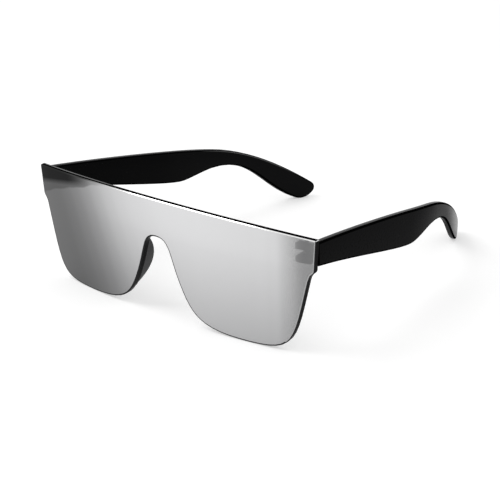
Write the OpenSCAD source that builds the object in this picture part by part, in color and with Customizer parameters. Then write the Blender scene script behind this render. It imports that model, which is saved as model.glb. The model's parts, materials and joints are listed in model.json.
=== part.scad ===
// Rimless wrap sunglasses, unfolded: one mirrored shield lens, two end blocks, two folding temples.
//
// The pieces are drawn in the lens frame: +X to the wearer's left, +Y back to the ears, +Z up, with the
// origin at the top centre of the lens front. Each piece is drawn for the wearer's left and mirrored for
// the right. The whole pair then tips until it stands on the lens lobes and the ear tips.

/* [Lens] */
// Width of the lens across its two hinge tabs
lens_width = 140.6; // [134:1:150]
// Height from the top centre down to the lowest edge of a lobe
lens_height = 50; // [46:0.5:56]
// Thickness of the lens
lens_thickness = 2.3; // [1.8:0.1:2.8]
// Radius of the front face, which wraps round the brow
wrap_radius = 305; // [260:1:400]
// How far the top edge drops from its centre to its ends
brow_drop = 3; // [2:0.1:4]
// Round of the top outer corner
corner_round = 1.1; // [0.6:0.1:2]
// Height of the straight outer edge of a hinge tab
tab_height = 12.2; // [11.4:0.2:16]
// How far the lower corner of a tab lies inside its upper corner
tab_lean = 0.8; // [0.4:0.1:2]
// Width of the step below a tab
step_in = 2.4; // [1:0.1:3]
// Height of the step below a tab
step_down = 3.9; // [3:0.1:6]
// Distance of a lobe's lowest point from the centre
lobe_x = 43; // [40:0.5:46]

/* [Nose] */
// Distance from the top edge of the lens down to the top of the nose notch
bridge_height = 15.6; // [13:0.1:18]
// Half the width of the notch at its flank
flank_x = 10.4; // [9:0.1:12]
// Distance from the top edge down to the flank
flank_drop = 32.6; // [30:0.1:35]
// Lean of the notch's flank from upright, in degrees
flank_lean = 22.5; // [18:0.5:26]
// Thickness of a nose pad's wing
pad_thickness = 1.6; // [1.2:0.1:2.2]
// How far a nose pad reaches behind the lens
pad_depth = 9.6; // [6:0.2:11]
// Depth of a nose pad's upper end below the lens's top edge
pad_top_drop = 18.4; // [17:0.2:21]
// Depth of a nose pad's lower end below the lens's top edge
pad_low_drop = 42; // [38:0.5:44]
// Outward lean of a nose pad from straight back, in degrees
pad_flare = 14; // [6:1:20]
// Width of the foot that bonds a nose pad to the lens
pad_foot_width = 2.6; // [2.2:0.1:4]
// Thickness of the foot
pad_foot_thickness = 0.9; // [0.6:0.1:1.4]
// How far a nose pad keeps inside the edge of the notch
pad_inset = 0.25; // [0.1:0.05:0.6]

/* [Temples] */
// Thickness of a temple
temple_thickness = 3; // [2.6:0.1:3.6]
// How far a temple's outer face lies inside the lens's outer corner
temple_inset = 0.2; // [0:0.1:0.6]
// Inward lean of the straight part of a temple, in degrees
temple_splay = 5.3; // [3:0.1:8]
// Distance behind the lens at which a temple starts to curve inward
bend_start = 74; // [66:1:80]
// Radius of the outer face where a temple curves inward
bend_radius = 204; // [160:1:260]
// Distance from the lens's top edge down to a temple's top at its root
root_drop = 4.3; // [4:0.1:5]
// Height of a temple at its root
root_height = 9.6; // [8.8:0.1:10.4]
// Distance behind the lens of a temple's tallest place
belly_y = 75.5; // [71:0.5:79]
// Height of the bottom edge there, below the top edge of the lens
belly_drop = 34.2; // [32:0.1:37]
// Distance behind the lens of the hollow in front of the ear
neck_y = 92.5; // [90:0.5:95]
// How far that hollow rises above the tallest place's bottom edge
neck_rise = 1.2; // [0.4:0.1:3]
// Height of a temple at that hollow
neck_height = 8.7; // [7.5:0.1:11]
// Distance behind the lens of the centre of the ear tip's lower round
tip_y = 141.2; // [138:0.2:145]
// Depth of that centre below the top edge of the lens
tip_drop = 54.6; // [52:0.1:58]
// Radius of the ear tip's lower round
tip_radius = 6.4; // [5.6:0.1:7]
// Radius of the ear tip's rear corner
tip_corner = 3.5; // [2.4:0.1:4.6]
// Length of the straight edge between those two rounds
tip_flat = 0.9; // [0.5:0.1:2]

/* [Temple core] */
// Thickness of the stamped core
core_thickness = 1.3; // [0.9:0.1:1.4]
// Height of the core along the temple
core_height = 2.1; // [1.8:0.1:2.2]
// Distance of the core's end from the centre of the ear tip's lower round
core_tip_gap = 18.5; // [14:0.5:26]

/* [Hinge] */
// Distance of the hinge axis behind a temple's root
hinge_set_back = 2.9; // [2.8:0.1:3.6]
// Radius of the lugs and of the knuckle between them
lug_radius = 2.6; // [2.4:0.1:2.8]
// How far the middle of the hinge lies below the middle of the temple's root
hinge_low = 0.6; // [0.4:0.1:0.9]
// Height of the upper lug, which carries the screw's head
upper_lug_height = 1.5; // [1.4:0.1:1.8]
// Height of the lower lug, which holds the insert
lower_lug_height = 2.8; // [2.6:0.1:3.2]
// Gap in front of the knuckle, at the floor of the slot between the lugs
slot_clearance = 0.2; // [0.1:0.05:0.3]
// Gap between a lug and the knuckle, on each face
knuckle_gap = 0.05; // [0.03:0.01:0.1]
// Gap between the end block and the temple that swings past it
swing_gap = 0.4; // [0.3:0.05:0.6]
// Gap between a temple's root and the back of the lens
root_gap = 0.1; // [0.05:0.05:0.3]
// Width of the end block and temple root together
block_width = 9.5; // [9.2:0.1:11]
// How far the end block's plate stands above the upper lug
block_rise = 1.6; // [1:0.1:2]
// Round of the end block's corners
block_round = 0.7; // [0.4:0.1:1]
// Depth of the rounded notch in the end block's inner edge
notch_depth = 4.2; // [2:0.1:4.4]
// Height of that notch
notch_height = 2.7; // [2.3:0.1:3]

/* [Hinge screw] */
// Diameter of the screw
screw_d = 1.4; // [1.2:0.1:1.6]
// Diameter of the screw's head
screw_head_d = 2.5; // [2.2:0.1:2.8]
// Height of the screw's head
screw_head_h = 0.7; // [0.5:0.1:0.8]
// Radial gap round the screw where a piece turns on it
screw_gap = 0.04; // [0.02:0.01:0.08]
// Radial gap round the screw's head
head_gap = 0.1; // [0.05:0.05:0.2]
// How far the head lies below the top of the upper lug
screw_head_sink = 0.1; // [0:0.05:0.2]
// How far the screw's end stays inside the lower lug's underside
screw_end_gap = 0.3; // [0.1:0.1:0.6]
// Width of the slot in the screw's head
driver_slot = 0.4; // [0.3:0.05:0.5]
// Depth of that slot
driver_slot_depth = 0.3; // [0.2:0.05:0.4]
// Outer diameter of the threaded insert
insert_d = 2.8; // [2.4:0.1:3]
// Height of the threaded insert
insert_h = 2.2; // [1.8:0.1:2.4]

/* [Hidden] */

$fn = 64;
// Facets of the large cylinders that give the lens and the temples their curve
LARGE_FN = 720;
// Steps in one stretch of a curved outline, and in a short one
STEPS = 12;
FEW_STEPS = 5;
// Longer than any piece, for tools that cut right through
THROUGH = 200;
// How far a cutting shape starts outside what it cuts
PAST = 1;
// How far a temple's outline runs on in front of its root, where the gap behind the lens trims it
RUN_ON = 4;

MIRROR_GREY = [0.72, 0.74, 0.76];
TEMPLE_BLACK = [0.06, 0.06, 0.065];
BLOCK_BLACK = [0.09, 0.09, 0.1];
PAD_BLACK = [0.1, 0.1, 0.11];
STEEL = [0.75, 0.74, 0.7];
SCREW_STEEL = [0.8, 0.8, 0.78];
BRASS = [0.78, 0.6, 0.28];

// Point at t, from 0 to 1, on the curve that leaves p[0] towards p[1] and reaches p[3] from p[2]
function curve_at(p, t) =
    pow(1 - t, 3) * p[0] + 3 * pow(1 - t, 2) * t * p[1] + 3 * (1 - t) * t * t * p[2] + pow(t, 3) * p[3];
// Points along that curve from t0 to t1, without the first one
function curve_points(p, t0 = 0, t1 = 1, steps = STEPS) =
    [for (i = [1:steps]) curve_at(p, t0 + (t1 - t0) * i / steps)];
function reversed(points) = [for (i = [len(points) - 1:-1:0]) points[i]];
function shifted(points, by) = [for (p = points) p + by];
// Unit vector at an angle from the first axis
function along(angle) = [cos(angle), sin(angle)];

// Lens outline, as [x, z] points of its left half. A pull is the length of a curve's handle: how far
// the outline runs on in one direction before it turns.
half_width = lens_width / 2;
inner_radius = wrap_radius - lens_thickness;
tab_top = [half_width, -brow_drop];
tab_low = tab_top - [tab_lean, tab_height];
step_low = tab_low - [step_in, step_down];
lobe_low = [lobe_x, -lens_height];
flank = [flank_x, -flank_drop];
notch_top = [0, -bridge_height];
flank_up = along(90 + flank_lean);
side_down = along(-103);
tab_pull = 1.3;
step_pull = 2.6;
side_pull = 28;
lobe_outer_pull = 18;
lobe_inner_pull = 23;
flank_low_pull = 14.4;
flank_top_pull = 12;
notch_pull = 6.6;

function brow_point(x) = [x, -brow_drop * pow(x / half_width, 2)];
brow_curve = [for (i = [0:STEPS]) brow_point((half_width - corner_round) * i / STEPS)];
corner_curve = [
    brow_point(half_width - corner_round), tab_top, tab_top,
    tab_top - [tab_lean, tab_height] * corner_round / tab_height,
];
step_curve = [
    tab_low, tab_low - tab_pull * [tab_lean, tab_height] / tab_height,
    step_low - step_pull * side_down, step_low,
];
side_curve = [step_low, step_low + side_pull * side_down, lobe_low + [lobe_outer_pull, 0], lobe_low];
lobe_curve = [lobe_low, lobe_low - [lobe_inner_pull, 0], flank - flank_low_pull * flank_up, flank];
notch_curve = [flank, flank + flank_top_pull * flank_up, notch_top + [notch_pull, 0], notch_top];
half_outline = concat(
    brow_curve, curve_points(corner_curve, steps = FEW_STEPS), [tab_low],
    curve_points(step_curve, steps = FEW_STEPS), curve_points(side_curve), curve_points(lobe_curve),
    curve_points(notch_curve)
);
lens_outline = concat(half_outline, [for (p = reversed(half_outline)) if (p[0] > 0) [-p[0], p[1]]]);

// Y of the lens's front and back face at a distance from its centre
function front_y(x) = wrap_radius - sqrt(pow(wrap_radius, 2) - x * x);
function back_y(x) = wrap_radius - sqrt(pow(inner_radius, 2) - x * x);

// Hinge, in the lens frame
root_y = back_y(half_width);
root_x = half_width - temple_inset;
hinge_z = -root_drop - root_height / 2 - hinge_low;
hinge_y = root_y + hinge_set_back;
hinge_x = root_x - (temple_thickness + swing_gap + lug_radius) / cos(temple_splay)
    - hinge_set_back * tan(temple_splay);
knuckle_height = core_height;
slot_height = knuckle_height + 2 * knuckle_gap;
lug_top = hinge_z + slot_height / 2 + upper_lug_height;
block_low = hinge_z - slot_height / 2 - lower_lug_height;
block_top = lug_top + block_rise;
block_height = block_top - block_low;
block_inner_x = half_width - block_width;
slot_floor_y = hinge_y - lug_radius - slot_clearance;
screw_r = screw_d / 2;
head_r = screw_head_d / 2;
insert_r = insert_d / 2;
head_seat_z = lug_top - screw_head_h - screw_head_sink;
screw_end_z = block_low + screw_end_gap;

// Temple outline, as [y, z] points, with its edges' angles and its curves' pulls
temple_top_angle = -9.5;
temple_bottom_angle = -13.6;
crest_angle = -15;
ear_top_angle = -40.4;
ear_low_angle = -30.5;
tip_end_angle = -51;
crest_set_back = 1.5;
root_top_pull = 28;
crest_front_pull = 25;
crest_rear_pull = 22;
tip_top_pull = 18;
tip_low_pull = 20;
neck_rear_pull = 23.4;
neck_front_pull = 4;
belly_rear_pull = 4.9;
belly_front_pull = 8.7;
root_low_pull = 30.6;
tip_centre = [root_y + tip_y, -tip_drop];
corner_centre = tip_centre + (tip_radius - tip_corner) * along(tip_end_angle)
    + tip_flat * along(tip_end_angle + 90);
root_top = [root_y, -root_drop];
root_low = [root_y, -root_drop - root_height];
belly = [root_y + belly_y, -belly_drop];
neck = [root_y + neck_y, -belly_drop + neck_rise];
crest = neck + [crest_set_back, neck_height];
tip_top = corner_centre + tip_corner * along(ear_top_angle + 90);
tip_low = tip_centre + tip_radius * along(ear_low_angle - 90);
top_curve = [
    root_top, root_top + root_top_pull * along(temple_top_angle),
    crest - crest_front_pull * along(crest_angle), crest,
];
ear_curve = [
    crest, crest + crest_rear_pull * along(crest_angle),
    tip_top - tip_top_pull * along(ear_top_angle), tip_top,
];
chin_curve = [tip_low, tip_low - tip_low_pull * along(ear_low_angle), neck + [neck_rear_pull, 0], neck];
throat_curve = [neck, neck - [neck_front_pull, 0], belly + [belly_rear_pull, 0], belly];
belly_curve = [
    belly, belly - [belly_front_pull, 0], root_low + root_low_pull * along(temple_bottom_angle), root_low,
];
// Points on a circle, from one angle to another
function arc_points(centre, radius, from, to, first = 0) =
    [for (i = [first:STEPS]) centre + radius * along(from + (to - from) * i / STEPS)];
tip_arcs = concat(
    arc_points(corner_centre, tip_corner, ear_top_angle + 90, tip_end_angle, first = 1),
    arc_points(tip_centre, tip_radius, tip_end_angle, ear_low_angle - 90)
);
temple_outline = concat(
    [root_top - RUN_ON * along(temple_top_angle)], [root_top],
    curve_points(top_curve), curve_points(ear_curve), tip_arcs,
    curve_points(chin_curve), curve_points(throat_curve, steps = FEW_STEPS), curve_points(belly_curve),
    [root_low - RUN_ON * along(temple_bottom_angle)]
);

// Pulls of the curve round a nose pad's free edge
pad_top_pull = 1;
pad_low_pull = 4;

// Middle line of the core, as [y, z] points: level through the knuckle, then along the temple
core_bend_angle = -14;
core_tail_angle = -39;
core_start_pull = 10;
core_bend_front_pull = 36;
core_bend_rear_pull = 14;
core_tail_pull = 12;
core_start = [hinge_y - PAST, hinge_z];
core_bend = neck + [0, neck_height / 2];
core_tail = tip_centre - core_tip_gap * along((ear_top_angle + ear_low_angle) / 2);
core_front_curve = [
    core_start, core_start + [core_start_pull, 0], core_bend - core_bend_front_pull * along(core_bend_angle),
    core_bend,
];
core_rear_curve = [
    core_bend, core_bend + core_bend_rear_pull * along(core_bend_angle),
    core_tail - core_tail_pull * along(core_tail_angle), core_tail,
];
core_line = concat([core_start], curve_points(core_front_curve), curve_points(core_rear_curve));
function heading(points, i) =
    let (a = points[max(i - 1, 0)], b = points[min(i + 1, len(points) - 1)]) (b - a) / norm(b - a);
function side_of(points, distance) =
    [for (i = [0:len(points) - 1]) let (d = heading(points, i)) points[i] + distance * [-d[1], d[0]]];

// Rest: the line under the front of a lobe and under the ear tip is level, and the pair is centred
// between the top of the lens and the back of the ear tips
lobe_contact = [front_y(lobe_x), -lens_height];
contact_span = tip_centre - lobe_contact;
rest_tilt = asin(tip_radius / norm(contact_span)) - atan2(contact_span[1], contact_span[0]);
rest_z = -(lobe_contact[1] * cos(rest_tilt) + lobe_contact[0] * sin(rest_tilt));
rear_y = corner_centre[0] * cos(rest_tilt) - corner_centre[1] * sin(rest_tilt) + tip_corner;

module at_rest() {
    translate([0, -rear_y / 2, rest_z]) rotate([rest_tilt, 0, 0]) children();
}

module left() {
    at_rest() children();
}

module right() {
    at_rest() mirror([1, 0, 0]) children();
}

// Extrudes an [x, z] outline along Y, from y0 to y1
module front_prism(points, y0, y1) {
    translate([0, y1, 0]) rotate([90, 0, 0]) linear_extrude(y1 - y0) polygon(points);
}

// Extrudes a [y, z] outline along X, from x0 to x1
module side_prism(points, x0, x1) {
    translate([x0, 0, 0]) rotate([90, 0, 90]) linear_extrude(x1 - x0) polygon(points);
}

// Everything on the wearer's side of a face that lies behind the back of the lens by gap
module behind_lens(gap = 0) {
    translate([0, wrap_radius, -THROUGH / 2]) cylinder(r = inner_radius - gap, h = THROUGH, $fn = LARGE_FN);
}

// Band of a temple seen from above: straight, then curved inward; depth is measured from the outer face
module temple_band(depth, thickness) {
    start = bend_start / cos(temple_splay);
    translate([root_x, root_y, -THROUGH / 2]) rotate([0, 0, temple_splay]) {
        translate([-depth - thickness, -RUN_ON, 0]) cube([thickness, start + RUN_ON, THROUGH]);
        translate([-bend_radius, start, 0]) intersection() {
            difference() {
                cylinder(r = bend_radius - depth, h = THROUGH, $fn = LARGE_FN);
                cylinder(r = bend_radius - depth - thickness, h = THROUGH * 3, center = true, $fn = LARGE_FN);
            }
            translate([bend_radius / 2, 0, 0]) cube([bend_radius, bend_radius, THROUGH]);
        }
    }
}

module on_hinge_axis(z) {
    translate([hinge_x, hinge_y, z]) children();
}

module lens() {
    color(MIRROR_GREY) at_rest() intersection() {
        front_prism(lens_outline, -PAST, root_y + PAST);
        difference() {
            translate([0, wrap_radius, -THROUGH / 2]) cylinder(r = wrap_radius, h = THROUGH, $fn = LARGE_FN);
            behind_lens();
        }
    }
}

// Front view of an end block's plate, with round inner corners
module block_face() {
    r = block_round;
    translate([block_inner_x + r, block_low]) square([block_width - r, block_height]);
    translate([block_inner_x, block_low + r]) square([block_width, block_height - 2 * r]);
    for (z = [block_low + r, block_top - r]) translate([block_inner_x + r, z]) circle(r);
}

// Front view of the rounded notch in the plate's inner edge
module notch_face() {
    r = notch_height / 2;
    translate([block_inner_x - PAST, hinge_z - r]) square([notch_depth + PAST - r, notch_height]);
    translate([block_inner_x + notch_depth - r, hinge_z]) circle(r);
}

// A plate against the back of the lens, with two lugs that stand back from it. Only the plate's front
// follows the lens, and only its outer side leans with the temple.
module end_block() {
    outer_x = root_x - (temple_thickness + swing_gap) / cos(temple_splay);
    lug_stack = lug_top - block_low;
    color(BLOCK_BLACK) difference() {
        union() {
            intersection() {
                translate([0, slot_floor_y, 0]) rotate([90, 0, 0]) linear_extrude(slot_floor_y) block_face();
                behind_lens();
                translate([0, 0, -THROUGH / 2]) linear_extrude(THROUGH) polygon([
                    [block_inner_x - PAST, 0], [outer_x + root_y * tan(temple_splay), 0],
                    [outer_x - (slot_floor_y + PAST - root_y) * tan(temple_splay), slot_floor_y + PAST],
                    [block_inner_x - PAST, slot_floor_y + PAST],
                ]);
            }
            translate([hinge_x - lug_radius, slot_floor_y, block_low])
                cube([2 * lug_radius, hinge_y - slot_floor_y, lug_stack]);
            on_hinge_axis(block_low) cylinder(r = lug_radius, h = lug_stack);
        }
        translate([0, slot_floor_y, 0]) rotate([90, 0, 0]) linear_extrude(slot_floor_y) notch_face();
        translate([block_inner_x - PAST, slot_floor_y, hinge_z - slot_height / 2])
            cube([block_width, THROUGH, slot_height]);
        on_hinge_axis(block_low - PAST) cylinder(r = screw_r + screw_gap, h = THROUGH);
        on_hinge_axis(head_seat_z) cylinder(r = head_r + head_gap, h = THROUGH);
        on_hinge_axis(block_low - PAST) cylinder(r = insert_r, h = insert_h + PAST);
    }
}

// Knuckle, leaf and strip of the stamped core, without its bore
module core_blank() {
    leaf_depth = (temple_thickness - core_thickness) / 2;
    leaf_end = root_x - (leaf_depth + core_thickness / 2) / cos(temple_splay)
        - hinge_set_back * tan(temple_splay);
    on_hinge_axis(hinge_z - knuckle_height / 2) cylinder(r = lug_radius, h = knuckle_height);
    translate([hinge_x, hinge_y - PAST, hinge_z - knuckle_height / 2])
        cube([leaf_end - hinge_x, lug_radius + PAST, knuckle_height]);
    intersection() {
        side_prism(
            concat(side_of(core_line, core_height / 2), reversed(side_of(core_line, -core_height / 2))),
            0, half_width
        );
        temple_band(leaf_depth, core_thickness);
    }
}

module temple_core() {
    color(STEEL) difference() {
        core_blank();
        on_hinge_axis(-THROUGH / 2) cylinder(r = screw_r + screw_gap, h = THROUGH);
    }
}

module temple() {
    color(TEMPLE_BLACK) difference() {
        intersection() {
            side_prism(temple_outline, 0, half_width);
            temple_band(0, temple_thickness);
            behind_lens(root_gap);
        }
        core_blank();
    }
}

module hinge_screw() {
    color(SCREW_STEEL) difference() {
        union() {
            on_hinge_axis(head_seat_z) cylinder(r = head_r, h = screw_head_h);
            on_hinge_axis(screw_end_z) cylinder(r = screw_r, h = head_seat_z - screw_end_z);
        }
        on_hinge_axis(head_seat_z + screw_head_h)
            cube([screw_head_d + PAST, driver_slot, 2 * driver_slot_depth], center = true);
    }
}

module hinge_insert() {
    color(BRASS) on_hinge_axis(block_low) difference() {
        cylinder(r = insert_r, h = insert_h);
        translate([0, 0, -PAST]) cylinder(r = screw_r, h = insert_h + 2 * PAST);
    }
}

// A wing that follows the edge of the notch and leans outward, on a foot bonded to the back of the lens
module nose_pad() {
    inward = along(flank_lean);
    edge = concat(curve_points(notch_curve, 0.8, 0), curve_points(lobe_curve, 1, 0.7, FEW_STEPS));
    wing = shifted(edge, pad_inset * inward);
    wing_far = shifted(edge, (pad_inset + pad_thickness) * inward);
    foot_far = shifted(edge, (pad_inset + pad_foot_width) * inward);
    pad_y = back_y(flank_x);
    pad_end_y = pad_y + 2 * pad_depth;
    profile_curve = [
        [pad_y, -pad_top_drop], [pad_y + pad_depth / 3, -pad_top_drop - pad_top_pull],
        [pad_end_y, -pad_low_drop + pad_low_pull], [pad_y, -pad_low_drop],
    ];
    profile = concat(
        [[0, -pad_top_drop], profile_curve[0]], curve_points(profile_curve), [[0, -pad_low_drop]]
    );
    color(PAD_BLACK) intersection() {
        side_prism(profile, 0, half_width);
        union() {
            intersection() {
                behind_lens();
                translate([flank_x, pad_y, -flank_drop])
                    rotate(a = -pad_flare, v = [flank_up[0], 0, flank_up[1]])
                        translate([-flank_x, -pad_y, flank_drop])
                            front_prism(concat(wing, reversed(wing_far)), 0, pad_end_y);
            }
            intersection() {
                front_prism(concat(wing, reversed(foot_far)), 0, pad_end_y);
                difference() {
                    behind_lens();
                    behind_lens(pad_foot_thickness);
                }
            }
        }
    }
}

lens();
left() end_block();  // end_block_left
right() end_block();  // end_block_right
left() temple();  // temple_left
right() temple();  // temple_right
left() temple_core();  // temple_core_left
right() temple_core();  // temple_core_right
left() hinge_screw();  // hinge_screw_left
right() hinge_screw();  // hinge_screw_right
left() hinge_insert();  // hinge_insert_left
right() hinge_insert();  // hinge_insert_right
left() nose_pad();  // nose_pad_left
right() nose_pad();  // nose_pad_right
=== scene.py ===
# %% [markdown]
# # Rimless sunglasses, dressed in Blender
#
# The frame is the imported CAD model: a one-piece shield lens, two end blocks, two temples with a metal
# core, two hinge screws with their inserts, and two nose pads. Everything is in metres. The pair stands
# open on the two lobes of its lens and on its two ear tips, so the whole front leans a little.
#
# The lens and the temples are what people see, so they get most of the care. The small metal parts keep
# their CAD shapes and only get a finish.

# %% Load the frame
import json
import math

import bmesh
import bpy
import numpy as np
from mathutils import Matrix, Vector

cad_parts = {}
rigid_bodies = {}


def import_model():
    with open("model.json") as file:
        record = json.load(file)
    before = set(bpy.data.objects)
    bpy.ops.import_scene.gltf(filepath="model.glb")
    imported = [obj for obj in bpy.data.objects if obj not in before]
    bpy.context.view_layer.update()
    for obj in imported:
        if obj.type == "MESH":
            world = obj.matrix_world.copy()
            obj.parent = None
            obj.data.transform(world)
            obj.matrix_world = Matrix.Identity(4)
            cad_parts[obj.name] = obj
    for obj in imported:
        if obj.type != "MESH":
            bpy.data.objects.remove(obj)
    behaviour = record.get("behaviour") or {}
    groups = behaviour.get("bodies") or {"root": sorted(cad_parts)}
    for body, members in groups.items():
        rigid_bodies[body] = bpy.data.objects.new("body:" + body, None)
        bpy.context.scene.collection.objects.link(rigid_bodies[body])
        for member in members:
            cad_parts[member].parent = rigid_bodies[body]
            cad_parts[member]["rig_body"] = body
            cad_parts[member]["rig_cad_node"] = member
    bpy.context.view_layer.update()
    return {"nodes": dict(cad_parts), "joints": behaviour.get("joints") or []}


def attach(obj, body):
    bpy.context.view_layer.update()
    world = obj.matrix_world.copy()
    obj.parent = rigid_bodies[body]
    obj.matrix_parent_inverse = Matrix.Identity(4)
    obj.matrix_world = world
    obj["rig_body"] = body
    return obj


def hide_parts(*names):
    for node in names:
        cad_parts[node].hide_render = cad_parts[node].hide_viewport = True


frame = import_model()
nodes = frame["nodes"]
MM = 0.001
print("CAD nodes:", ", ".join(sorted(nodes)))

# %% [markdown]
# ## Picking one piece
#
# An operator acts on everything that is selected, and loading leaves all CAD nodes selected. So before
# each operator everything is deselected, and then the one piece that it is meant for is picked.

# %% Picking
def deselect():
    """Leaves edit mode and deselects every object."""
    if bpy.context.mode != "OBJECT":
        bpy.ops.object.mode_set(mode="OBJECT")
    bpy.ops.object.select_all(action="DESELECT")


def pick(piece):
    """Makes one piece the only selected object."""
    deselect()
    piece.select_set(True)
    bpy.context.view_layer.objects.active = piece


deselect()
print("selected now:", len(bpy.context.selected_objects))

# %% [markdown]
# ## How the pair leans
#
# The temples turn about axes that stand square to the lens's top edge. So the axis of the left hinge
# says how far the pair is tipped to stand on its lobes and ear tips. A level copy is easier to measure
# and to model than a tipped one, so each piece is worked on with its brow edge level. The matrix below
# takes a tipped point to its level place.

# %% The lean, from the hinge axis
hinge_axis = Vector(frame["joints"][0]["axis"])
lean = math.atan2(-hinge_axis.y, hinge_axis.z)
level_out = Matrix.Rotation(lean, 4, "X").inverted()
print("lean:", round(math.degrees(lean), 3), "degrees")

# %% [markdown]
# ## The camera
#
# The photograph was taken from the wearer's left front, a little above the glasses, with a long lens.
# A camera could be placed by eye, but then no piece could be compared closely. This one stands where it
# has to for the lens, both temples and the nose notch to fall in the same places as in the photograph.

# %% Camera
CAMERA_SPOT = (0.3413, -0.4585, 0.2259)
CAMERA_TURN = 37.92
CAMERA_DOWN = 21.14
CAMERA_ROLL = 0.78
FOCAL_LENGTH = 101.5
SENSOR_WIDTH = 36
NEAREST_SEEN = 10 * MM
bpy.ops.object.camera_add(location=CAMERA_SPOT)
camera = bpy.context.active_object
camera.name = "camera"
camera.data.lens = FOCAL_LENGTH
camera.data.sensor_width = SENSOR_WIDTH
camera.data.clip_start = NEAREST_SEEN
camera.matrix_world = (
    Matrix.Translation(CAMERA_SPOT)
    @ Matrix.Rotation(math.radians(CAMERA_TURN), 4, "Z")
    @ Matrix.Rotation(math.radians(90 - CAMERA_DOWN), 4, "X")
    @ Matrix.Rotation(math.radians(CAMERA_ROLL), 4, "Z")
)
bpy.context.scene.camera = camera
print("camera:", round(camera.location.length / MM), "mm from the middle of the floor")

# %% [markdown]
# ## Light that is only seen
#
# The background is white, but a world or floor that is bright enough to look white would also wash out
# the object. The Light Path node tells the two uses apart. What the camera sees, directly, in a mirror
# or through a clear surface, can be white, while the light that falls on the object stays plain.

# %% An empty material, and the test for light that is only seen
def new_material(name):
    """An empty node material, its tree and its output node."""
    material = bpy.data.materials.new(name)
    material.use_nodes = True
    material.node_tree.nodes.clear()
    output = material.node_tree.nodes.new("ShaderNodeOutputMaterial")
    return material, material.node_tree, output


def seen_or_mirrored(tree):
    """1 where a ray comes from the camera, a mirror or glass, and 0 for light that only illuminates."""
    path = tree.nodes.new("ShaderNodeLightPath")
    first = tree.nodes.new("ShaderNodeMath")
    first.operation = "MAXIMUM"
    second = tree.nodes.new("ShaderNodeMath")
    second.operation = "MAXIMUM"
    tree.links.new(path.outputs["Is Camera Ray"], first.inputs[0])
    tree.links.new(path.outputs["Is Glossy Ray"], first.inputs[1])
    tree.links.new(first.outputs[0], second.inputs[0])
    tree.links.new(path.outputs["Is Transmission Ray"], second.inputs[1])
    return second.outputs[0]


print("finishes so far:", len(bpy.data.materials))

# %% [markdown]
# ## The floor
#
# The glasses stand on a plain pale sheet. A backdrop with a curved sweep would do as well, but nothing
# behind the glasses shows where the floor ends, so one large plane is enough. Its paint is light grey,
# so that it keeps the soft shadow, and a faint glow that only the camera and mirrors see lifts it to
# white.

# %% Floor
FLOOR_SIZE = 6
FLOOR_GREY = (0.7, 0.7, 0.7, 1)
FLOOR_GLOW = 0.42


def floor_finish():
    """Pale matte paint with a glow that only shows where the floor is seen."""
    material, tree, output = new_material("pale_floor")
    paint = tree.nodes.new("ShaderNodeBsdfDiffuse")
    paint.inputs["Color"].default_value = FLOOR_GREY
    glow = tree.nodes.new("ShaderNodeEmission")
    glow.inputs["Strength"].default_value = FLOOR_GLOW
    dark = tree.nodes.new("ShaderNodeEmission")
    dark.inputs["Strength"].default_value = 0
    choose = tree.nodes.new("ShaderNodeMixShader")
    both = tree.nodes.new("ShaderNodeAddShader")
    tree.links.new(seen_or_mirrored(tree), choose.inputs[0])
    tree.links.new(dark.outputs[0], choose.inputs[1])
    tree.links.new(glow.outputs[0], choose.inputs[2])
    tree.links.new(paint.outputs[0], both.inputs[0])
    tree.links.new(choose.outputs[0], both.inputs[1])
    tree.links.new(both.outputs[0], output.inputs["Surface"])
    return material


bpy.ops.mesh.primitive_plane_add(size=FLOOR_SIZE)
floor = bpy.context.active_object
floor.name = "floor"
floor.data.materials.append(floor_finish())
print("floor:", FLOOR_SIZE, "m square")

# %% [markdown]
# ## The light
#
# A white world lights the glasses evenly from all round, as a light tent does. Several soft lamps could
# do the same, but each would leave its own reflection in the film. Colours are shown as they are
# written, so the view transform is Standard.

# %% World
WORLD_LIGHT = 0.75
WHITE = (1, 1, 1, 1)


def make_world():
    """White where it is seen or mirrored, and a soft even light for everything else."""
    world = bpy.data.worlds.new("studio")
    bpy.context.scene.world = world
    world.use_nodes = True
    tree = world.node_tree
    tree.nodes.clear()
    output = tree.nodes.new("ShaderNodeOutputWorld")
    seen = tree.nodes.new("ShaderNodeBackground")
    seen.inputs["Color"].default_value = WHITE
    light = tree.nodes.new("ShaderNodeBackground")
    light.inputs["Color"].default_value = WHITE
    light.inputs["Strength"].default_value = WORLD_LIGHT
    choose = tree.nodes.new("ShaderNodeMixShader")
    tree.links.new(seen_or_mirrored(tree), choose.inputs[0])
    tree.links.new(light.outputs[0], choose.inputs[1])
    tree.links.new(seen.outputs[0], choose.inputs[2])
    tree.links.new(choose.outputs[0], output.inputs["Surface"])


make_world()
bpy.context.scene.view_settings.view_transform = "Standard"
print("world light:", WORLD_LIGHT)

# %% [markdown]
# ## The lamp
#
# One wide lamp overhead and to the side gives the temples the grey sheen along their top edges. A small
# lamp would give hard white spots instead, which the photograph doesn't have.

# %% Lamp
LAMP_SPOT = (-0.45, -0.4, 0.8)
LAMP_SIZE = 0.55
LAMP_POWER = 3.0
bpy.ops.object.light_add(type="AREA", location=LAMP_SPOT)
lamp = bpy.context.active_object
lamp.name = "overhead"
lamp.data.shape = "SQUARE"
lamp.data.size = LAMP_SIZE
lamp.data.energy = LAMP_POWER
lamp.rotation_euler = (-Vector(LAMP_SPOT)).to_track_quat("-Z", "Y").to_euler()
print("lamp:", round(Vector(LAMP_SPOT).length, 2), "m away,", LAMP_SIZE, "m wide")

# %% [markdown]
# ## A finish with grain
#
# No moulded or polished surface is perfectly even. A flat colour would do from far away, but close up it
# looks like a drawing. So every plain finish gets a fine noise in the piece's own coordinates. The noise
# varies the colour and the gloss a little and lifts the surface by a few thousandths of a millimetre.

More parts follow.
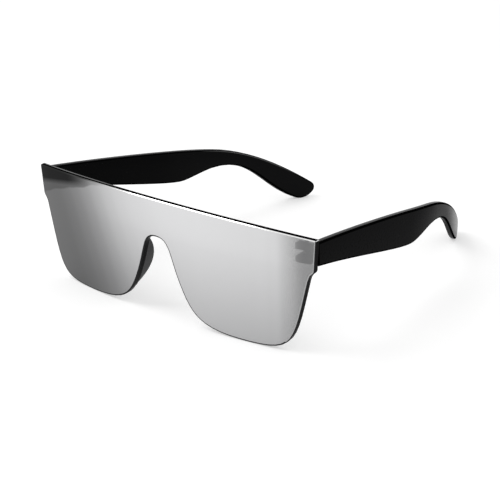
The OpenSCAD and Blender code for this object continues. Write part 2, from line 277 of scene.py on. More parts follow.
# %% Finish helper
GRAIN_SCALE = 900
GRAIN_DETAIL = 3
GRAIN_DEPTH = 0.1 * MM
SHADE_CHANGE = 0.15


def surface(name, colour, roughness, metallic=0.0, specular=0.5, bump=0.02, spread=0.06):
    """A finish with a fine grain: colour, gloss that varies by spread, and a slight bump."""
    material, tree, output = new_material(name)
    shader = tree.nodes.new("ShaderNodeBsdfPrincipled")
    shader.inputs["Metallic"].default_value = metallic
    shader.inputs["Specular IOR Level"].default_value = specular
    place = tree.nodes.new("ShaderNodeTexCoord")
    noise = tree.nodes.new("ShaderNodeTexNoise")
    noise.inputs["Scale"].default_value = GRAIN_SCALE
    noise.inputs["Detail"].default_value = GRAIN_DETAIL
    gloss = tree.nodes.new("ShaderNodeMapRange")
    gloss.inputs["To Min"].default_value = roughness - spread
    gloss.inputs["To Max"].default_value = roughness + spread
    shade = tree.nodes.new("ShaderNodeValToRGB")
    shade.color_ramp.elements[0].color = (*[c * (1 - SHADE_CHANGE) for c in colour], 1)
    shade.color_ramp.elements[1].color = (*[c * (1 + SHADE_CHANGE) for c in colour], 1)
    lift = tree.nodes.new("ShaderNodeBump")
    lift.inputs["Strength"].default_value = bump
    lift.inputs["Distance"].default_value = GRAIN_DEPTH
    tree.links.new(place.outputs["Object"], noise.inputs["Vector"])
    tree.links.new(noise.outputs["Fac"], gloss.inputs["Value"])
    tree.links.new(noise.outputs["Fac"], shade.inputs["Fac"])
    tree.links.new(noise.outputs["Fac"], lift.inputs["Height"])
    tree.links.new(gloss.outputs["Result"], shader.inputs["Roughness"])
    tree.links.new(shade.outputs["Color"], shader.inputs["Base Color"])
    tree.links.new(lift.outputs["Normal"], shader.inputs["Normal"])
    tree.links.new(shader.outputs["BSDF"], output.inputs["Surface"])
    return material


print("grain:", round(1 / GRAIN_SCALE / MM, 1), "mm across")

# %% [markdown]
# ## A finish that changes along its piece
#
# The painted reflection in the film on the lens isn't the same all over, and the ears of the temples
# are glossier than their fronts. A painted image could say so, but it would have to be made for this
# one shape. Here a coordinate of the piece runs through a ramp of greys instead, so the change stays
# smooth at any size and moves with the piece.

# %% Ramps along an axis
def object_point(tree):
    """A point in its piece's own coordinates."""
    return tree.nodes.new("ShaderNodeTexCoord").outputs["Object"]


def coordinate(tree, axis):
    """X, Y or Z of a point in its piece's own coordinates."""
    split = tree.nodes.new("ShaderNodeSeparateXYZ")
    tree.links.new(object_point(tree), split.inputs[0])
    return split.outputs[axis]


def ranged(tree, value, low, high):
    """value scaled so that low becomes 0 and high becomes 1."""
    scale = tree.nodes.new("ShaderNodeMapRange")
    scale.inputs["From Min"].default_value = low
    scale.inputs["From Max"].default_value = high
    tree.links.new(value, scale.inputs["Value"])
    return scale.outputs["Result"]


def tones(tree, stops, value):
    """A ramp of greys, fed by value. Each stop is a place from 0 to 1 and a grey."""
    ramp = tree.nodes.new("ShaderNodeValToRGB")
    ramp.color_ramp.interpolation = "CARDINAL"
    while len(ramp.color_ramp.elements) < len(stops):
        ramp.color_ramp.elements.new(0.5)
    for element, (where, grey) in zip(ramp.color_ramp.elements, stops):
        element.position = where
        element.color = (grey, grey, grey, 1)
    tree.links.new(value, ramp.inputs["Fac"])
    return ramp.outputs["Color"]


def vary_shine(material, stops, axis, low, high):
    """Lets a finish reflect more or less along its piece, by stops from low to high on an axis."""
    tree = material.node_tree
    shine = tones(tree, stops, ranged(tree, coordinate(tree, axis), low, high))
    tree.links.new(shine, tree.nodes["Principled BSDF"].inputs["Specular IOR Level"])
    print(material.name, "shines by", len(stops), "stops along", axis)


# %% [markdown]
# ## Mixing two patterns
#
# The painted reflection in the film dims at one end, along a line that leans, and a painted dark
# reflection lies over that. Two patterns are laid over each other by multiplying them, and a leaning line
# is made by adding a share of X to Z.

# %% Products, leaning lines and blends
def product(tree, first, second):
    """Two values multiplied."""
    times = tree.nodes.new("ShaderNodeMath")
    times.operation = "MULTIPLY"
    tree.links.new(first, times.inputs[0])
    tree.links.new(second, times.inputs[1])
    return times.outputs[0]


def plus_share(tree, value, share, base):
    """base with a share of value added."""
    add = tree.nodes.new("ShaderNodeMath")
    add.operation = "MULTIPLY_ADD"
    add.inputs[1].default_value = share
    tree.links.new(value, add.inputs[0])
    tree.links.new(base, add.inputs[2])
    return add.outputs[0]


def slanted(tree, x, z, line):
    """0 below and 1 above a soft line: its slope along x, and where it starts and ends at x = 0."""
    slope, low, high = line
    return ranged(tree, plus_share(tree, x, -slope, z), low, high)


def blend(tree, share, first, second):
    """From first to second by share. Each is a grey or the output of another node."""
    mix = tree.nodes.new("ShaderNodeMix")
    mix.data_type = "RGBA"
    for socket, colour in ((mix.inputs[6], first), (mix.inputs[7], second)):
        if isinstance(colour, float):
            socket.default_value = (colour, colour, colour * 1.01, 1)
        else:
            tree.links.new(colour, socket)
    tree.links.new(share, mix.inputs["Factor"])
    return mix.outputs[2]


print("pattern tools: product, plus_share, slanted, blend")

# %% [markdown]
# ## The metal film
#
# The lens is smoke-tinted plastic with a thin metal film on its front. The film is almost a mirror, but
# a perfect mirror looks like a hole in the picture. A very fine noise changes its gloss a little, as
# the vapour that it is made from does. It has no bump, because the film is as smooth as the lens.

# %% Metal film
FILM_GRAIN = 700
FILM_DETAIL = 2
FILM_SPREAD = 0.03


def metal_film(name, roughness):
    """A metal finish whose gloss varies a little, with its colour still to be set."""
    material, tree, output = new_material(name)
    shader = tree.nodes.new("ShaderNodeBsdfPrincipled")
    shader.inputs["Metallic"].default_value = 1.0
    grain = tree.nodes.new("ShaderNodeTexNoise")
    grain.inputs["Scale"].default_value = FILM_GRAIN
    grain.inputs["Detail"].default_value = FILM_DETAIL
    gloss = tree.nodes.new("ShaderNodeMapRange")
    gloss.inputs["To Min"].default_value = roughness - FILM_SPREAD
    gloss.inputs["To Max"].default_value = roughness + FILM_SPREAD
    tree.links.new(object_point(tree), grain.inputs["Vector"])
    tree.links.new(grain.outputs["Fac"], gloss.inputs["Value"])
    tree.links.new(gloss.outputs["Result"], shader.inputs["Roughness"])
    tree.links.new(shader.outputs["BSDF"], output.inputs["Surface"])
    print(name, "roughness:", roughness, "give or take", FILM_SPREAD)
    return material, tree, shader


# %% [markdown]
# ## The tones of the mirror
#
# The film's colour holds a painted reflection. It is brightest from the middle to the wearer's left and
# dims towards the wearer's right end, at the wearer's left tab and a little towards the cheeks. At the
# wearer's right tab the colour holds a painted dark reflection: a deep dark patch under the brow with a
# fainter, wavy one below it. Over the two tabs the film is thinner, so the end blocks behind show through
# it. A mirror could be left to show the studio alone, but this one is curved so little that it would come
# out as one even grey. So the tones are painted reflection in the film's colour. Each list of stops runs
# across the lens from the wearer's right to the left, or down it from the brow.

# %% Tones of the mirror
HALF_LENS = 70.3 * MM
LENS_TOP = 48 * MM
LENS_FOOT = 2 * MM
# Greys of the painted reflection, from its dim end to its bright middle, and the grey of the painted dark
# reflection at the wearer's right tab.
FILM_DIM = 0.115
FILM_BRIGHT = 0.66
DARK_REFLECTION_GREY = 0.02
DIM_LINE = (-2.845, -158 * MM, 242 * MM)
DIM_END = [
    (0.06, 0.0), (0.1, 0.03), (0.15, 0.1), (0.2, 0.21), (0.25, 0.37), (0.3, 0.57), (0.35, 0.73),
    (0.4, 0.84), (0.5, 0.95), (0.6, 1.0),
]
TAB_END = [(0.0, 1.0), (0.65, 1.0), (0.8, 0.95), (0.86, 0.92), (0.9, 0.8), (0.95, 0.25), (1.0, 0.15)]
CHEEKS = [(0.0, 1.0), (0.3, 0.92), (1.0, 0.63)]
COVER = [(0.0, 1.0), (0.9, 1.0), (0.93, 0.83), (1.0, 0.87)]
# How much metal stays under the painted dark reflection, and where that reflection lies: deep under the
# brow, and fainter with a wavy edge below it.
METAL_UNDER_DEEP_REFLECTION = [(0.0, 1.0), (1.0, 0.12)]
DEEP_REFLECTION_LINE = (0.194, 52.9 * MM, 55.3 * MM)
DEEP_REFLECTION_ACROSS = [(0.0, 0.95), (0.15, 0.95), (0.25, 0.0)]
FAINT_REFLECTION_LINE = (0.317, 58.8 * MM, 59.5 * MM)
FAINT_REFLECTION_ACROSS = [(0.0, 0.5), (0.2, 0.5), (0.27, 0.25), (0.33, 0.0)]
WAVE_SCALE = 130
WAVE_HEIGHT = 2.4 * MM
print("mirror: from", FILM_DIM, "at its dim end to", FILM_BRIGHT)

# %% [markdown]
# ## The mirror
#
# The tones of the painted reflection are laid over each other in one material. First come the dim end and
# the two tabs, then the cheeks, then the faint painted dark reflection and at last the deep one. The deep
# painted dark reflection is also made less metallic, because a metal always turns bright where it is seen
# at a flat angle, however dark its colour is.

# %% Mirror film
def wavy_height(tree, z):
    """z with a slow wave added, for an edge that isn't straight."""
    wave = tree.nodes.new("ShaderNodeTexNoise")
    wave.inputs["Scale"].default_value = WAVE_SCALE
    wave.inputs["Detail"].default_value = 1
    tree.links.new(object_point(tree), wave.inputs["Vector"])
    return plus_share(tree, wave.outputs["Fac"], WAVE_HEIGHT, z)


def make_mirror():
    """The film on the front of the lens, with a painted reflection in its colour."""
    material, tree, shader = metal_film("mirror_film", roughness=0.09)
    x = coordinate(tree, "X")
    z = coordinate(tree, "Z")
    across = ranged(tree, x, -HALF_LENS, HALF_LENS)
    dim_end = tones(tree, DIM_END, slanted(tree, x, z, DIM_LINE))
    ends = product(tree, dim_end, tones(tree, TAB_END, across))
    bright = product(tree, ends, tones(tree, CHEEKS, ranged(tree, z, LENS_TOP, LENS_FOOT)))
    film = blend(tree, bright, FILM_DIM, FILM_BRIGHT)
    # The fainter painted dark reflection, with a wavy edge.
    faint_reflection_edge = slanted(tree, x, wavy_height(tree, z), FAINT_REFLECTION_LINE)
    faint_reflection = product(tree, tones(tree, FAINT_REFLECTION_ACROSS, across), faint_reflection_edge)
    with_faint_reflection = blend(tree, faint_reflection, film, DARK_REFLECTION_GREY)
    # The deep painted dark reflection under the brow.
    deep_reflection = product(tree, tones(tree, DEEP_REFLECTION_ACROSS, across), slanted(tree, x, z, DEEP_REFLECTION_LINE))
    tree.links.new(blend(tree, deep_reflection, with_faint_reflection, DARK_REFLECTION_GREY), shader.inputs["Base Color"])
    tree.links.new(tones(tree, METAL_UNDER_DEEP_REFLECTION, deep_reflection), shader.inputs["Metallic"])
    tree.links.new(tones(tree, COVER, across), shader.inputs["Alpha"])
    shader.inputs["Specular IOR Level"].default_value = 0.0
    return material


mirror_film = make_mirror()
print(mirror_film.name, "nodes:", len(mirror_film.node_tree.nodes))

# %% [markdown]
# ## The lens's edges
#
# The bevel along the brow is polished and shines white, except at the wearer's right, where its colour
# holds a painted dark reflection of the temple behind it. The cut edge of the plate is black, and the
# narrow rim round the front is painted dark, as painted shade. Down the wearer's left side that rim is
# painted a lighter grey instead, as a painted highlight, and along the rear of the brow a thin line
# catches the light, at the wearer's right only. The back is smoke tint over the film. One finish for the
# whole edge would be simpler, but these thin lines are what makes the plate look thick and clear.

# %% Finishes of the lens's edges and back
TINT_COVER = 0.3
# The brow bevel's greys, from the painted dark reflection at the wearer's right end to the bright
# polished metal.
BROW_SHINE = [(0.0, 0.01), (0.1, 0.015), (0.16, 0.05), (0.24, 0.15), (0.36, 0.75), (1.0, 0.85)]
BACK_SHINE = [(0.0, 0.4), (0.3, 0.36), (0.36, 0.0), (1.0, 0.0)]


def make_brow_rim():
    """The polished bevel along the brow, with a painted dark reflection at the wearer's right end."""
    material, tree, shader = metal_film("brow_rim", roughness=0.1)
    across = ranged(tree, coordinate(tree, "X"), -HALF_LENS, HALF_LENS)
    tree.links.new(tones(tree, BROW_SHINE, across), shader.inputs["Base Color"])
    return material


brow_rim = make_brow_rim()
# The rim round the front: a dark copy as painted shade, and a lighter metal copy down the wearer's left
# side as a painted highlight.
shaded_rim = surface("shaded_rim", (0.02, 0.02, 0.021), 0.2, specular=0.05)
lit_side_rim = surface("lit_side_rim", (0.36, 0.36, 0.363), 0.2, metallic=1.0)
brow_back = surface("brow_back", (0.002, 0.002, 0.0021), 0.2, specular=0.1)
lens_edge = surface("lens_edge", (0.0015, 0.0015, 0.0016), 0.2, specular=0.0)
lens_flank = surface("lens_flank", (0.002, 0.002, 0.0021), 0.25, specular=0.015)
lens_tint = surface("lens_tint", (0.03, 0.03, 0.033), 0.15, specular=0.2, spread=0.03)
lens_tint.node_tree.nodes["Principled BSDF"].inputs["Alpha"].default_value = TINT_COVER
vary_shine(brow_back, BACK_SHINE, "X", -HALF_LENS, HALF_LENS)

# %% [markdown]
# ## Copies of the CAD pieces
#
# A CAD node is a shell of loose triangles and stays as it is. A piece that only needs its sharp edges
# broken could be modelled again from nothing, but a copy is exact. So the copy's corners are merged,
# its flat faces are cleaned of their inner edges, and a bevel breaks the sharp edges.

# %% Copying and bevelling
MERGE_WITHIN = 0.002 * MM
FLAT_WITHIN = 0.4


def copy_node(node, name):
    """A merged copy of a CAD node, with its flat faces in one piece."""
    pick(nodes[node])
    bpy.ops.object.duplicate()
    piece = bpy.context.active_object
    piece.name = name
    piece.parent = None
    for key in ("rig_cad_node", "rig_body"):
        if key in piece:
            del piece[key]
    piece.data.materials.clear()
    bpy.ops.object.mode_set(mode="EDIT")
    bpy.ops.mesh.select_all(action="SELECT")
    bpy.ops.mesh.customdata_custom_splitnormals_clear()
    bpy.ops.mesh.remove_doubles(threshold=MERGE_WITHIN)
    bpy.ops.mesh.dissolve_limited(angle_limit=math.radians(FLAT_WITHIN))
    bpy.ops.object.mode_set(mode="OBJECT")
    print(name, "copied:", len(piece.data.vertices), "corners")
    return piece


def apply_all(piece):
    """Applies every modifier of a piece."""
    pick(piece)
    for modifier in list(piece.modifiers):
        bpy.ops.object.modifier_apply(modifier=modifier.name)


def bevel_edges(piece, width, segments, angle, clamp=True):
    """Bevels the edges that turn by more than angle."""
    bevel = piece.modifiers.new("bevel", "BEVEL")
    bevel.width = width
    bevel.segments = segments
    bevel.limit_method = "ANGLE"
    bevel.angle_limit = math.radians(angle)
    bevel.use_clamp_overlap = clamp
    apply_all(piece)


def smooth(piece, angle):
    """Smooth shading, with edges sharper than angle kept crisp."""
    pick(piece)
    bpy.ops.object.shade_smooth_by_angle(angle=math.radians(angle))


# %% [markdown]
# ## The lens
#
# One thick curved plate. The copy of the CAD lens gets a narrow flat bevel all round, and each face then
# gets its finish by where it points: the film on the front, the tint on the back, the black edge
# between, and the polished bevel along the brow. Round the two top corners the cut edge takes the bright
# bevel finish as a painted glint. The bevel isn't clamped, because short edges in the corners would make
# it thinner everywhere.

# %% Bevelled lens with a finish on every face
LENS_BEVEL = 0.3 * MM
FACING = 0.9
TOWARDS = 0.3
UPWARD = 0.5
GLINT_CORNER = 0.45
SIDEWAYS = 0.6
lens_finishes = (mirror_film, lens_tint, lens_edge, brow_rim, shaded_rim, lens_flank, lit_side_rim, brow_back)
FRONT, BACK, CUT_EDGE, BROW, RIM, FLANK, SIDE, BROW_BACK = range(len(lens_finishes))


def lens_finish(out):
    """The finish of a face of the lens, from where it points in the level position."""
    if out.y < -FACING:
        return FRONT
    if out.y > FACING:
        return BACK
    if out.y < -TOWARDS:
        return BROW if out.z > UPWARD else RIM
    # The cut edge round the two top corners takes the bright brow finish: a painted glint.
    if abs(out.x) > GLINT_CORNER and out.z > GLINT_CORNER:
        return BROW
    return FLANK if abs(out.x) > SIDEWAYS else CUT_EDGE


lens = copy_node("lens", "shield_lens")
for material in lens_finishes:
    lens.data.materials.append(material)
bevel_edges(lens, LENS_BEVEL, segments=1, angle=40, clamp=False)
level_turn = level_out.to_3x3()
for face in lens.data.polygons:
    face.material_index = lens_finish(level_turn @ face.normal)
print("lens faces:", len(lens.data.polygons))

# %% [markdown]
# ## Places on the lens
#
# To give a narrow face its finish, the script has to know where on the lens it is. A list of face
# numbers would break with any change of shape, so each place is told from the level position. The brow
# isn't quite straight, so a face counts as part of it when it is less than the brow's drop below the
# highest point. How far back a face is on the thick edge is measured from the curved front.

# %% Where a face of the lens is
BROW_DROP = 3.3 * MM
SIDE_FROM = 50 * MM
SIDE_ABOVE = 4 * MM
WRAP_RADIUS = 305 * MM

level_corners = [level_out @ v.co for v in lens.data.vertices]
brow_foot = max(p.z for p in level_corners) - BROW_DROP
side_foot = min(p.z for p in level_corners) + SIDE_ABOVE
wrap_centre = min(p.y for p in level_corners) + WRAP_RADIUS


def on_front(face):
    return face.material_index == FRONT


def on_brow(face):
    return (level_turn @ face.normal).z > FACING and (level_out @ face.center).z > brow_foot


def depth_behind_front(place):
    """How far behind the curved front of the lens a level place is."""
    return WRAP_RADIUS - math.hypot(place.x, wrap_centre - place.y)


print("faces on the front:", sum(on_front(face) for face in lens.data.polygons))
print("faces on the brow:", sum(on_brow(face) for face in lens.data.polygons))

# %% [markdown]
# ## Thin lines on the lens
#
# The rim round the front and the line along the rear of the brow are each well under a millimetre wide.
# They could be painted in the material, but a line that follows an outline is easier to make from faces.
# An inset of the whole front leaves a narrow band of faces along its outline, and an inset of the
# brow's top leaves one along its rear edge.

# %% Rims by inset
RIM_WIDTH = 0.35 * MM
BROW_LINE = 0.6 * MM
LENS_THICK = 2.3 * MM
LINE_DEPTH = LENS_THICK - LENS_BEVEL - BROW_LINE


def inset_faces(piece, chosen, width):
    """Insets the chosen faces as one region. The narrow faces round it are left unselected."""
    pick(piece)
    bpy.ops.object.mode_set(mode="EDIT")
    bpy.ops.mesh.select_mode(type="FACE")
    bpy.ops.mesh.select_all(action="DESELECT")
    bpy.ops.object.mode_set(mode="OBJECT")
    for face in piece.data.polygons:
        face.select = chosen(face)
    bpy.ops.object.mode_set(mode="EDIT")
    bpy.ops.mesh.inset(thickness=width, depth=0)
    bpy.ops.object.mode_set(mode="OBJECT")


inset_faces(lens, on_front, RIM_WIDTH)
for face in lens.data.polygons:
    place = level_out @ face.center
    # The band round the front gets the dark rim as painted shade, or the lighter side rim as a painted
    # highlight.
    if on_front(face) and not face.select and place.z < brow_foot:
        face.material_index = SIDE if place.x > SIDE_FROM and place.z > side_foot else RIM
inset_faces(lens, on_brow, BROW_LINE)
for face in lens.data.polygons:
    if on_brow(face) and depth_behind_front(level_out @ face.center) > LINE_DEPTH:
        face.material_index = BROW_BACK
smooth(lens, angle=20)
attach(lens, "front")
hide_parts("lens")
for index, word in ((RIM, "dark rim"), (SIDE, "light side"), (BROW_BACK, "rear line")):
    print(word, "faces:", sum(face.material_index == index for face in lens.data.polygons))

# %% [markdown]
# ## Black plastic for the temples
#
# The temples are black plastic. Their flat outer sides are satin and turn glossier towards the ear. The
# inner sides are duller, and the top is a little glossier and painted a little lighter, as painted light.
# The rounded edges and the underside are painted darker, as painted shade, the rounded edges the
# blackest. One glossy black would lose those quiet steps, so each surface has its own finish, and the
# two large ones change along the temple. A thin light line runs along the inner top edge of each ear.

# %% Finishes of the temples
EAR_SPAN = (-10 * MM, 80 * MM)
OUTER_SHINE = [(0.0, 0.006), (0.45, 0.012), (0.75, 0.04), (1.0, 0.2)]
INNER_SHINE = [(0.0, 0.015), (0.3, 0.025), (0.6, 0.035), (1.0, 0.045)]
EAR_LINE_SHINE = [(0.0, 0.0), (0.3, 0.0), (0.5, 1.0), (0.75, 1.0), (0.9, 0.0)]
# The top is painted a little lighter as painted light; the rounded edges and the underside are painted
# darker as painted shade.
temple_outer = surface("temple_outer", (0.0035, 0.0035, 0.0037), 0.28, specular=0.02)
temple_inner = surface("temple_inner", (0.003, 0.003, 0.0032), 0.3, specular=0.03)
temple_top_lit = surface("temple_top_lit", (0.005, 0.005, 0.0053), 0.24, specular=0.032)
temple_edge_shaded = surface("temple_edge_shaded", (0.0012, 0.0012, 0.0013), 0.35, specular=0.0)
temple_under_shaded = surface("temple_under_shaded", (0.002, 0.002, 0.0021), 0.3, specular=0.008)
ear_line = surface("ear_line", (0.003, 0.003, 0.0032), 0.25, specular=0.5)
vary_shine(temple_outer, OUTER_SHINE, "Y", *EAR_SPAN)
vary_shine(temple_inner, INNER_SHINE, "Y", *EAR_SPAN)
vary_shine(ear_line, EAR_LINE_SHINE, "Y", *EAR_SPAN)

# %% [markdown]
# ## Measuring the temples
#
# A temple is one flat bar with a shaped outline: narrow at its root, tall at the belly, then bent down
# behind the ear. Towards the ear it curves inward. A bevel on a copy of the CAD temple would tear,
# because the copy's outline is made of hundreds of short faces. So the temple is made anew, from the
# height and the inward curve that the CAD temple has at each depth. To measure those, the CAD mesh is
# cut by upright planes from the root to the ear tip, closer together where the tip rounds off.

# %% Heights and widths of a CAD temple
CUTS = 160
TIP_CUTS = 60
TIP_LENGTH = 6 * MM
ROOT_GAP = 0.05 * MM
TIP_GAP = 0.005 * MM


def section(corners, faces, y):
    """Lowest and highest x and z where the plane at depth y cuts a mesh."""
    pairs = np.vstack([faces[:, [0, 1]], faces[:, [1, 2]], faces[:, [2, 0]]])
    a = corners[pairs[:, 0]]
    b = corners[pairs[:, 1]]
    crossing = (a[:, 1] - y) * (b[:, 1] - y) < 0
    a, b = a[crossing], b[crossing]
    share = ((y - a[:, 1]) / (b[:, 1] - a[:, 1]))[:, None]
    points = a + share * (b - a)
    return points[:, 0].min(), points[:, 0].max(), points[:, 2].min(), points[:, 2].max()


def measure_temple(node, side):
    """Depths along a temple, its lowest and highest place there, and its outer and inner x."""
    data = nodes[node].data
    corners = np.array([level_out @ v.co for v in data.vertices])
    faces = np.array([p.vertices[:] for p in data.polygons])
    front = corners[np.argmax(corners[:, 0] * side)][1] + ROOT_GAP
    rear = corners[:, 1].max()
    turn = np.linspace(0, math.pi / 2, TIP_CUTS)
    depths = np.concatenate([
        np.linspace(front, rear - TIP_LENGTH, CUTS, endpoint=False),
        rear - TIP_LENGTH + (TIP_LENGTH - TIP_GAP) * np.sin(turn),
    ])
    cuts = np.array([section(corners, faces, y) for y in depths])
    outer, inner = (cuts[:, 1], cuts[:, 0]) if side > 0 else (cuts[:, 0], cuts[:, 1])
    return depths, cuts[:, 2], cuts[:, 3], outer, inner


temple_sizes = {}
for word, side in (("left", 1), ("right", -1)):
    temple_sizes[word] = measure_temple("temple_" + word, side)
    depths, low, high, outer, inner = temple_sizes[word]
    print(word, "temple length:", round((depths[-1] - depths[0]) / MM, 1), "mm")
    print(word, "temple height at its root:", round((high[0] - low[0]) / MM, 1), "mm")

# %% [markdown]
# ## The flat bar
#
# The maker of a real temple would start with a flat sheet too. A disc with as many corners as the
# outline needs is pulled to that outline, its corners all the same step apart, and extruded to the
# bar's thickness. Even steps matter, because the bevel that follows needs edges of about equal length.

# %% Cutting out a bar
OUTLINE_STEP = 1.1 * MM
DISC_RADIUS = 10 * MM


def evenly(line, step):
    """Points on a line, step apart, from its first point to its last."""
    run = np.concatenate([[0], np.cumsum(np.linalg.norm(np.diff(line, axis=0), axis=1))])
    places = np.linspace(0, run[-1], int(round(run[-1] / step)) + 1)
    return np.column_stack([np.interp(places, run, line[:, k]) for k in range(line.shape[1])])


def cut_out_bar(name, depths, low, high, thickness):
    """A flat bar with the temple's outline. Its outer face is at x = 0 and its inner face behind it."""
    top = np.column_stack([depths, high])
    bottom = np.column_stack([depths, low])[::-1]
    outline = evenly(np.vstack([top, bottom]), OUTLINE_STEP)
    deselect()
    bpy.ops.mesh.primitive_circle_add(vertices=len(outline), radius=DISC_RADIUS, fill_type="NGON")
    bar = bpy.context.active_object
    bar.name = name
    for vertex, (y, z) in zip(bar.data.vertices, outline):
        vertex.co = (0, y, z)
    bpy.ops.object.mode_set(mode="EDIT")
    bpy.ops.mesh.select_all(action="SELECT")
    bpy.ops.mesh.extrude_region_move(TRANSFORM_OT_translate={"value": (thickness, 0, 0)})
    bpy.ops.mesh.select_all(action="SELECT")
    bpy.ops.mesh.normals_make_consistent(inside=False)
    bpy.ops.object.mode_set(mode="OBJECT")
    print(name, "outline:", len(outline), "corners")
    return bar


bars = {}
for word, (depths, low, high, outer, inner) in temple_sizes.items():
    bars[word] = cut_out_bar(word + "_temple_bar", depths, low, high, abs(outer[0] - inner[0]))

# %% [markdown]
# ## Which edges to round
#
# Moulded temples are tumbled until their long edges are round, but the root stays square where it meets
# the lens. A bevel by angle would round the root as well, so the edges get a weight here, and the bevel
# in the next step follows the weight. Each side of the bar gets its finish at the same time, while there
# are still only a few faces.

# %% Weighing the edges
SHARP = 50
FLAT_SIDE = 0.7
AT_ROOT = 0.01 * MM
temple_finishes = (temple_outer, temple_inner, temple_top_lit, temple_edge_shaded, temple_under_shaded, ear_line)
OUTER, INNER, TOP, EDGE, UNDER, EAR_LINE = range(len(temple_finishes))


def weigh_edges(bar):
    """Gives each side of a bar its finish, and a bevel weight to each edge except those of the root."""
    root = min(v.co.y for v in bar.data.vertices) + AT_ROOT
    mesh = bmesh.new()
    mesh.from_mesh(bar.data)
    weight = mesh.edges.layers.float.new("bevel_weight_edge")
    for face in mesh.faces:
        if abs(face.normal.x) > FLAT_SIDE:
            face.material_index = INNER if face.normal.x > 0 else OUTER
        else:
            # The top gets the finish with painted light, the underside the one with painted shade.
            face.material_index = TOP if face.normal.z > 0 else UNDER
    for edge in mesh.edges:
        at_root = all(v.co.y < root for v in edge.verts)
        if edge.calc_face_angle() > math.radians(SHARP) and not at_root:
            edge[weight] = 1.0
    mesh.to_mesh(bar.data)
    mesh.free()


for bar in bars.values():
    for material in temple_finishes:
        bar.data.materials.append(material)
    weigh_edges(bar)
    print(bar.name, "sides with a finish:", len(bar.data.polygons))

# %% [markdown]
# ## Round edges
#
# The bevel turns each weighted edge into four narrow strips. They get the blackest finish, painted
# shade. Then, on the inner side, the two strips next to the top take the finish of the top with its
# painted light, and along the ear the strip next to the flat side becomes the light line.

# %% Rounding the bars
EDGE_ROUND = 0.75 * MM
ROUND_STEPS = 4
NEAR_TOP = 0.6
NEAR_SIDE = 0.9
EAR_FROM = 15 * MM


def round_bar(bar):
    """Rounds the weighted edges, and gives the new faces their finish."""
    bevel = bar.modifiers.new("round", "BEVEL")
    bevel.width = EDGE_ROUND
    bevel.segments = ROUND_STEPS
    bevel.limit_method = "WEIGHT"
    bevel.material = EDGE
    apply_all(bar)
    for face in bar.data.polygons:
        if face.material_index == EDGE and face.normal.z > 0 and face.normal.x > 0:
            if face.normal.x < NEAR_TOP:
                face.material_index = TOP
            elif face.normal.x > NEAR_SIDE and face.center.y > EAR_FROM:
                face.material_index = EAR_LINE


for bar in bars.values():
    round_bar(bar)
    print(bar.name, "rounded:", len(bar.data.polygons), "faces")

# %% [markdown]
# ## The inward curve
#
# A flat bar can't curve between its two ends, so it is first sliced across every few millimetres. Then
# each point moves sideways to where the CAD temple has it. A bend modifier would curve it along a
# circle, but the real temple is straight in front and curves only towards the ear. At the end the bar
# is tipped with the rest of the pair, and its place is put into its mesh.

# %% Curving the bars, and hand-over
SLICE = 3 * MM


def slice_bar(bar, first, last):
    """Cuts a bar across at even steps, without parting it."""
    pick(bar)
    bpy.ops.object.mode_set(mode="EDIT")
    for y in np.arange(first + SLICE, last, SLICE):
        bpy.ops.mesh.select_all(action="SELECT")
        bpy.ops.mesh.bisect(plane_co=(0, y, 0), plane_no=(0, 1, 0))
    bpy.ops.object.mode_set(mode="OBJECT")


def curve_bar(bar, depths, outer, inner):
    """Moves every point of a bar sideways to where the CAD temple has it."""
    thickness = abs(outer[0] - inner[0])
    for vertex in bar.data.vertices:
        out = np.interp(vertex.co.y, depths, outer)
        into = np.interp(vertex.co.y, depths, inner)
        vertex.co.x = out + (into - out) * vertex.co.x / thickness
    if inner[0] < outer[0]:
        bpy.ops.object.mode_set(mode="EDIT")
        bpy.ops.mesh.select_all(action="SELECT")
        bpy.ops.mesh.flip_normals()
        bpy.ops.object.mode_set(mode="OBJECT")


for word, bar in bars.items():
    depths, low, high, outer, inner = temple_sizes[word]
    slice_bar(bar, depths[0], depths[-1])
    curve_bar(bar, depths, outer, inner)
    bar.rotation_euler = (lean, 0, 0)
    pick(bar)
    bpy.ops.object.transform_apply(location=True, rotation=True, scale=True)
    smooth(bar, angle=30)
    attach(bar, word + "_temple")
    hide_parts("temple_" + word)
    print(bar.name, "curves inward by", round(abs(outer[0] - outer[-1]) / MM, 1), "mm")

# %% [markdown]
# ## End blocks
#
# An end block is bonded to the back of each lens tab and holds the hinge. It is moulded, so its edges
# are slightly round, and a copy with a small bevel is enough. A thin bond keeps it off the lens: without
# that gap the two surfaces would lie in one plane and flicker through each other.

# %% One end block
BLOCK_ROUND = 0.18 * MM
BOND = 0.03 * MM
block_black = surface("block_black", (0.008, 0.008, 0.009), 0.4, specular=0.06)


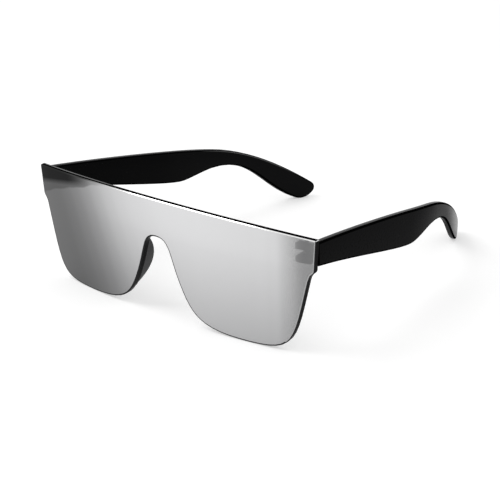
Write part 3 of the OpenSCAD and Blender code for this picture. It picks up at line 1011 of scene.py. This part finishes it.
def make_block(word):
    block = copy_node("end_block_" + word, word + "_end_block")
    bevel_edges(block, BLOCK_ROUND, segments=2, angle=50)
    for vertex in block.data.vertices:
        vertex.co.y += BOND
    smooth(block, angle=35)
    block.data.materials.append(block_black)
    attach(block, "front")
    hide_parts("end_block_" + word)
    print(block.name, "faces:", len(block.data.polygons))


# %% [markdown]
# ## Nose pads
#
# The pads are soft rubber, moulded in one form with no hard edge. A bevel would leave its edges visible,
# so a fine remesh turns the CAD wing into an even skin, and a little smoothing melts its edges. Each side
# of the glasses then gets its block and its pad.

# %% One nose pad, and both sides
PAD_VOXEL = 0.2 * MM
PAD_SOFTENING = 6
pad_black = surface("pad_black", (0.01, 0.01, 0.011), 0.45, specular=0.05, bump=0.05)


def make_pad(word):
    pad = copy_node("nose_pad_" + word, word + "_nose_pad")
    remesh = pad.modifiers.new("skin", "REMESH")
    remesh.mode = "VOXEL"
    remesh.voxel_size = PAD_VOXEL
    soften = pad.modifiers.new("soften", "SMOOTH")
    soften.iterations = PAD_SOFTENING
    soften.factor = 0.5
    apply_all(pad)
    smooth(pad, angle=80)
    pad.data.materials.append(pad_black)
    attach(pad, "front")
    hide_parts("nose_pad_" + word)
    print(pad.name, "faces:", len(pad.data.polygons))


for word in ("left", "right"):
    make_block(word)
    make_pad(word)

# %% [markdown]
# ## Small metal parts
#
# The stamped cores, the steel screws and the brass inserts are right as they are in CAD, and hardly any
# of them shows. Each keeps its CAD mesh and gets its metal.

# %% Metal finishes
core_steel = surface("core_steel", (0.56, 0.55, 0.52), 0.35, metallic=1.0)
screw_steel = surface("screw_steel", (0.62, 0.62, 0.6), 0.25, metallic=1.0)
insert_brass = surface("insert_brass", (0.7, 0.5, 0.2), 0.3, metallic=1.0)
for start, material in (
    ("temple_core_", core_steel), ("hinge_screw_", screw_steel), ("hinge_insert_", insert_brass)
):
    for word in ("left", "right"):
        part = nodes[start + word]
        part.data.materials.clear()
        part.data.materials.append(material)
        print(part.name, "is now", material.name)
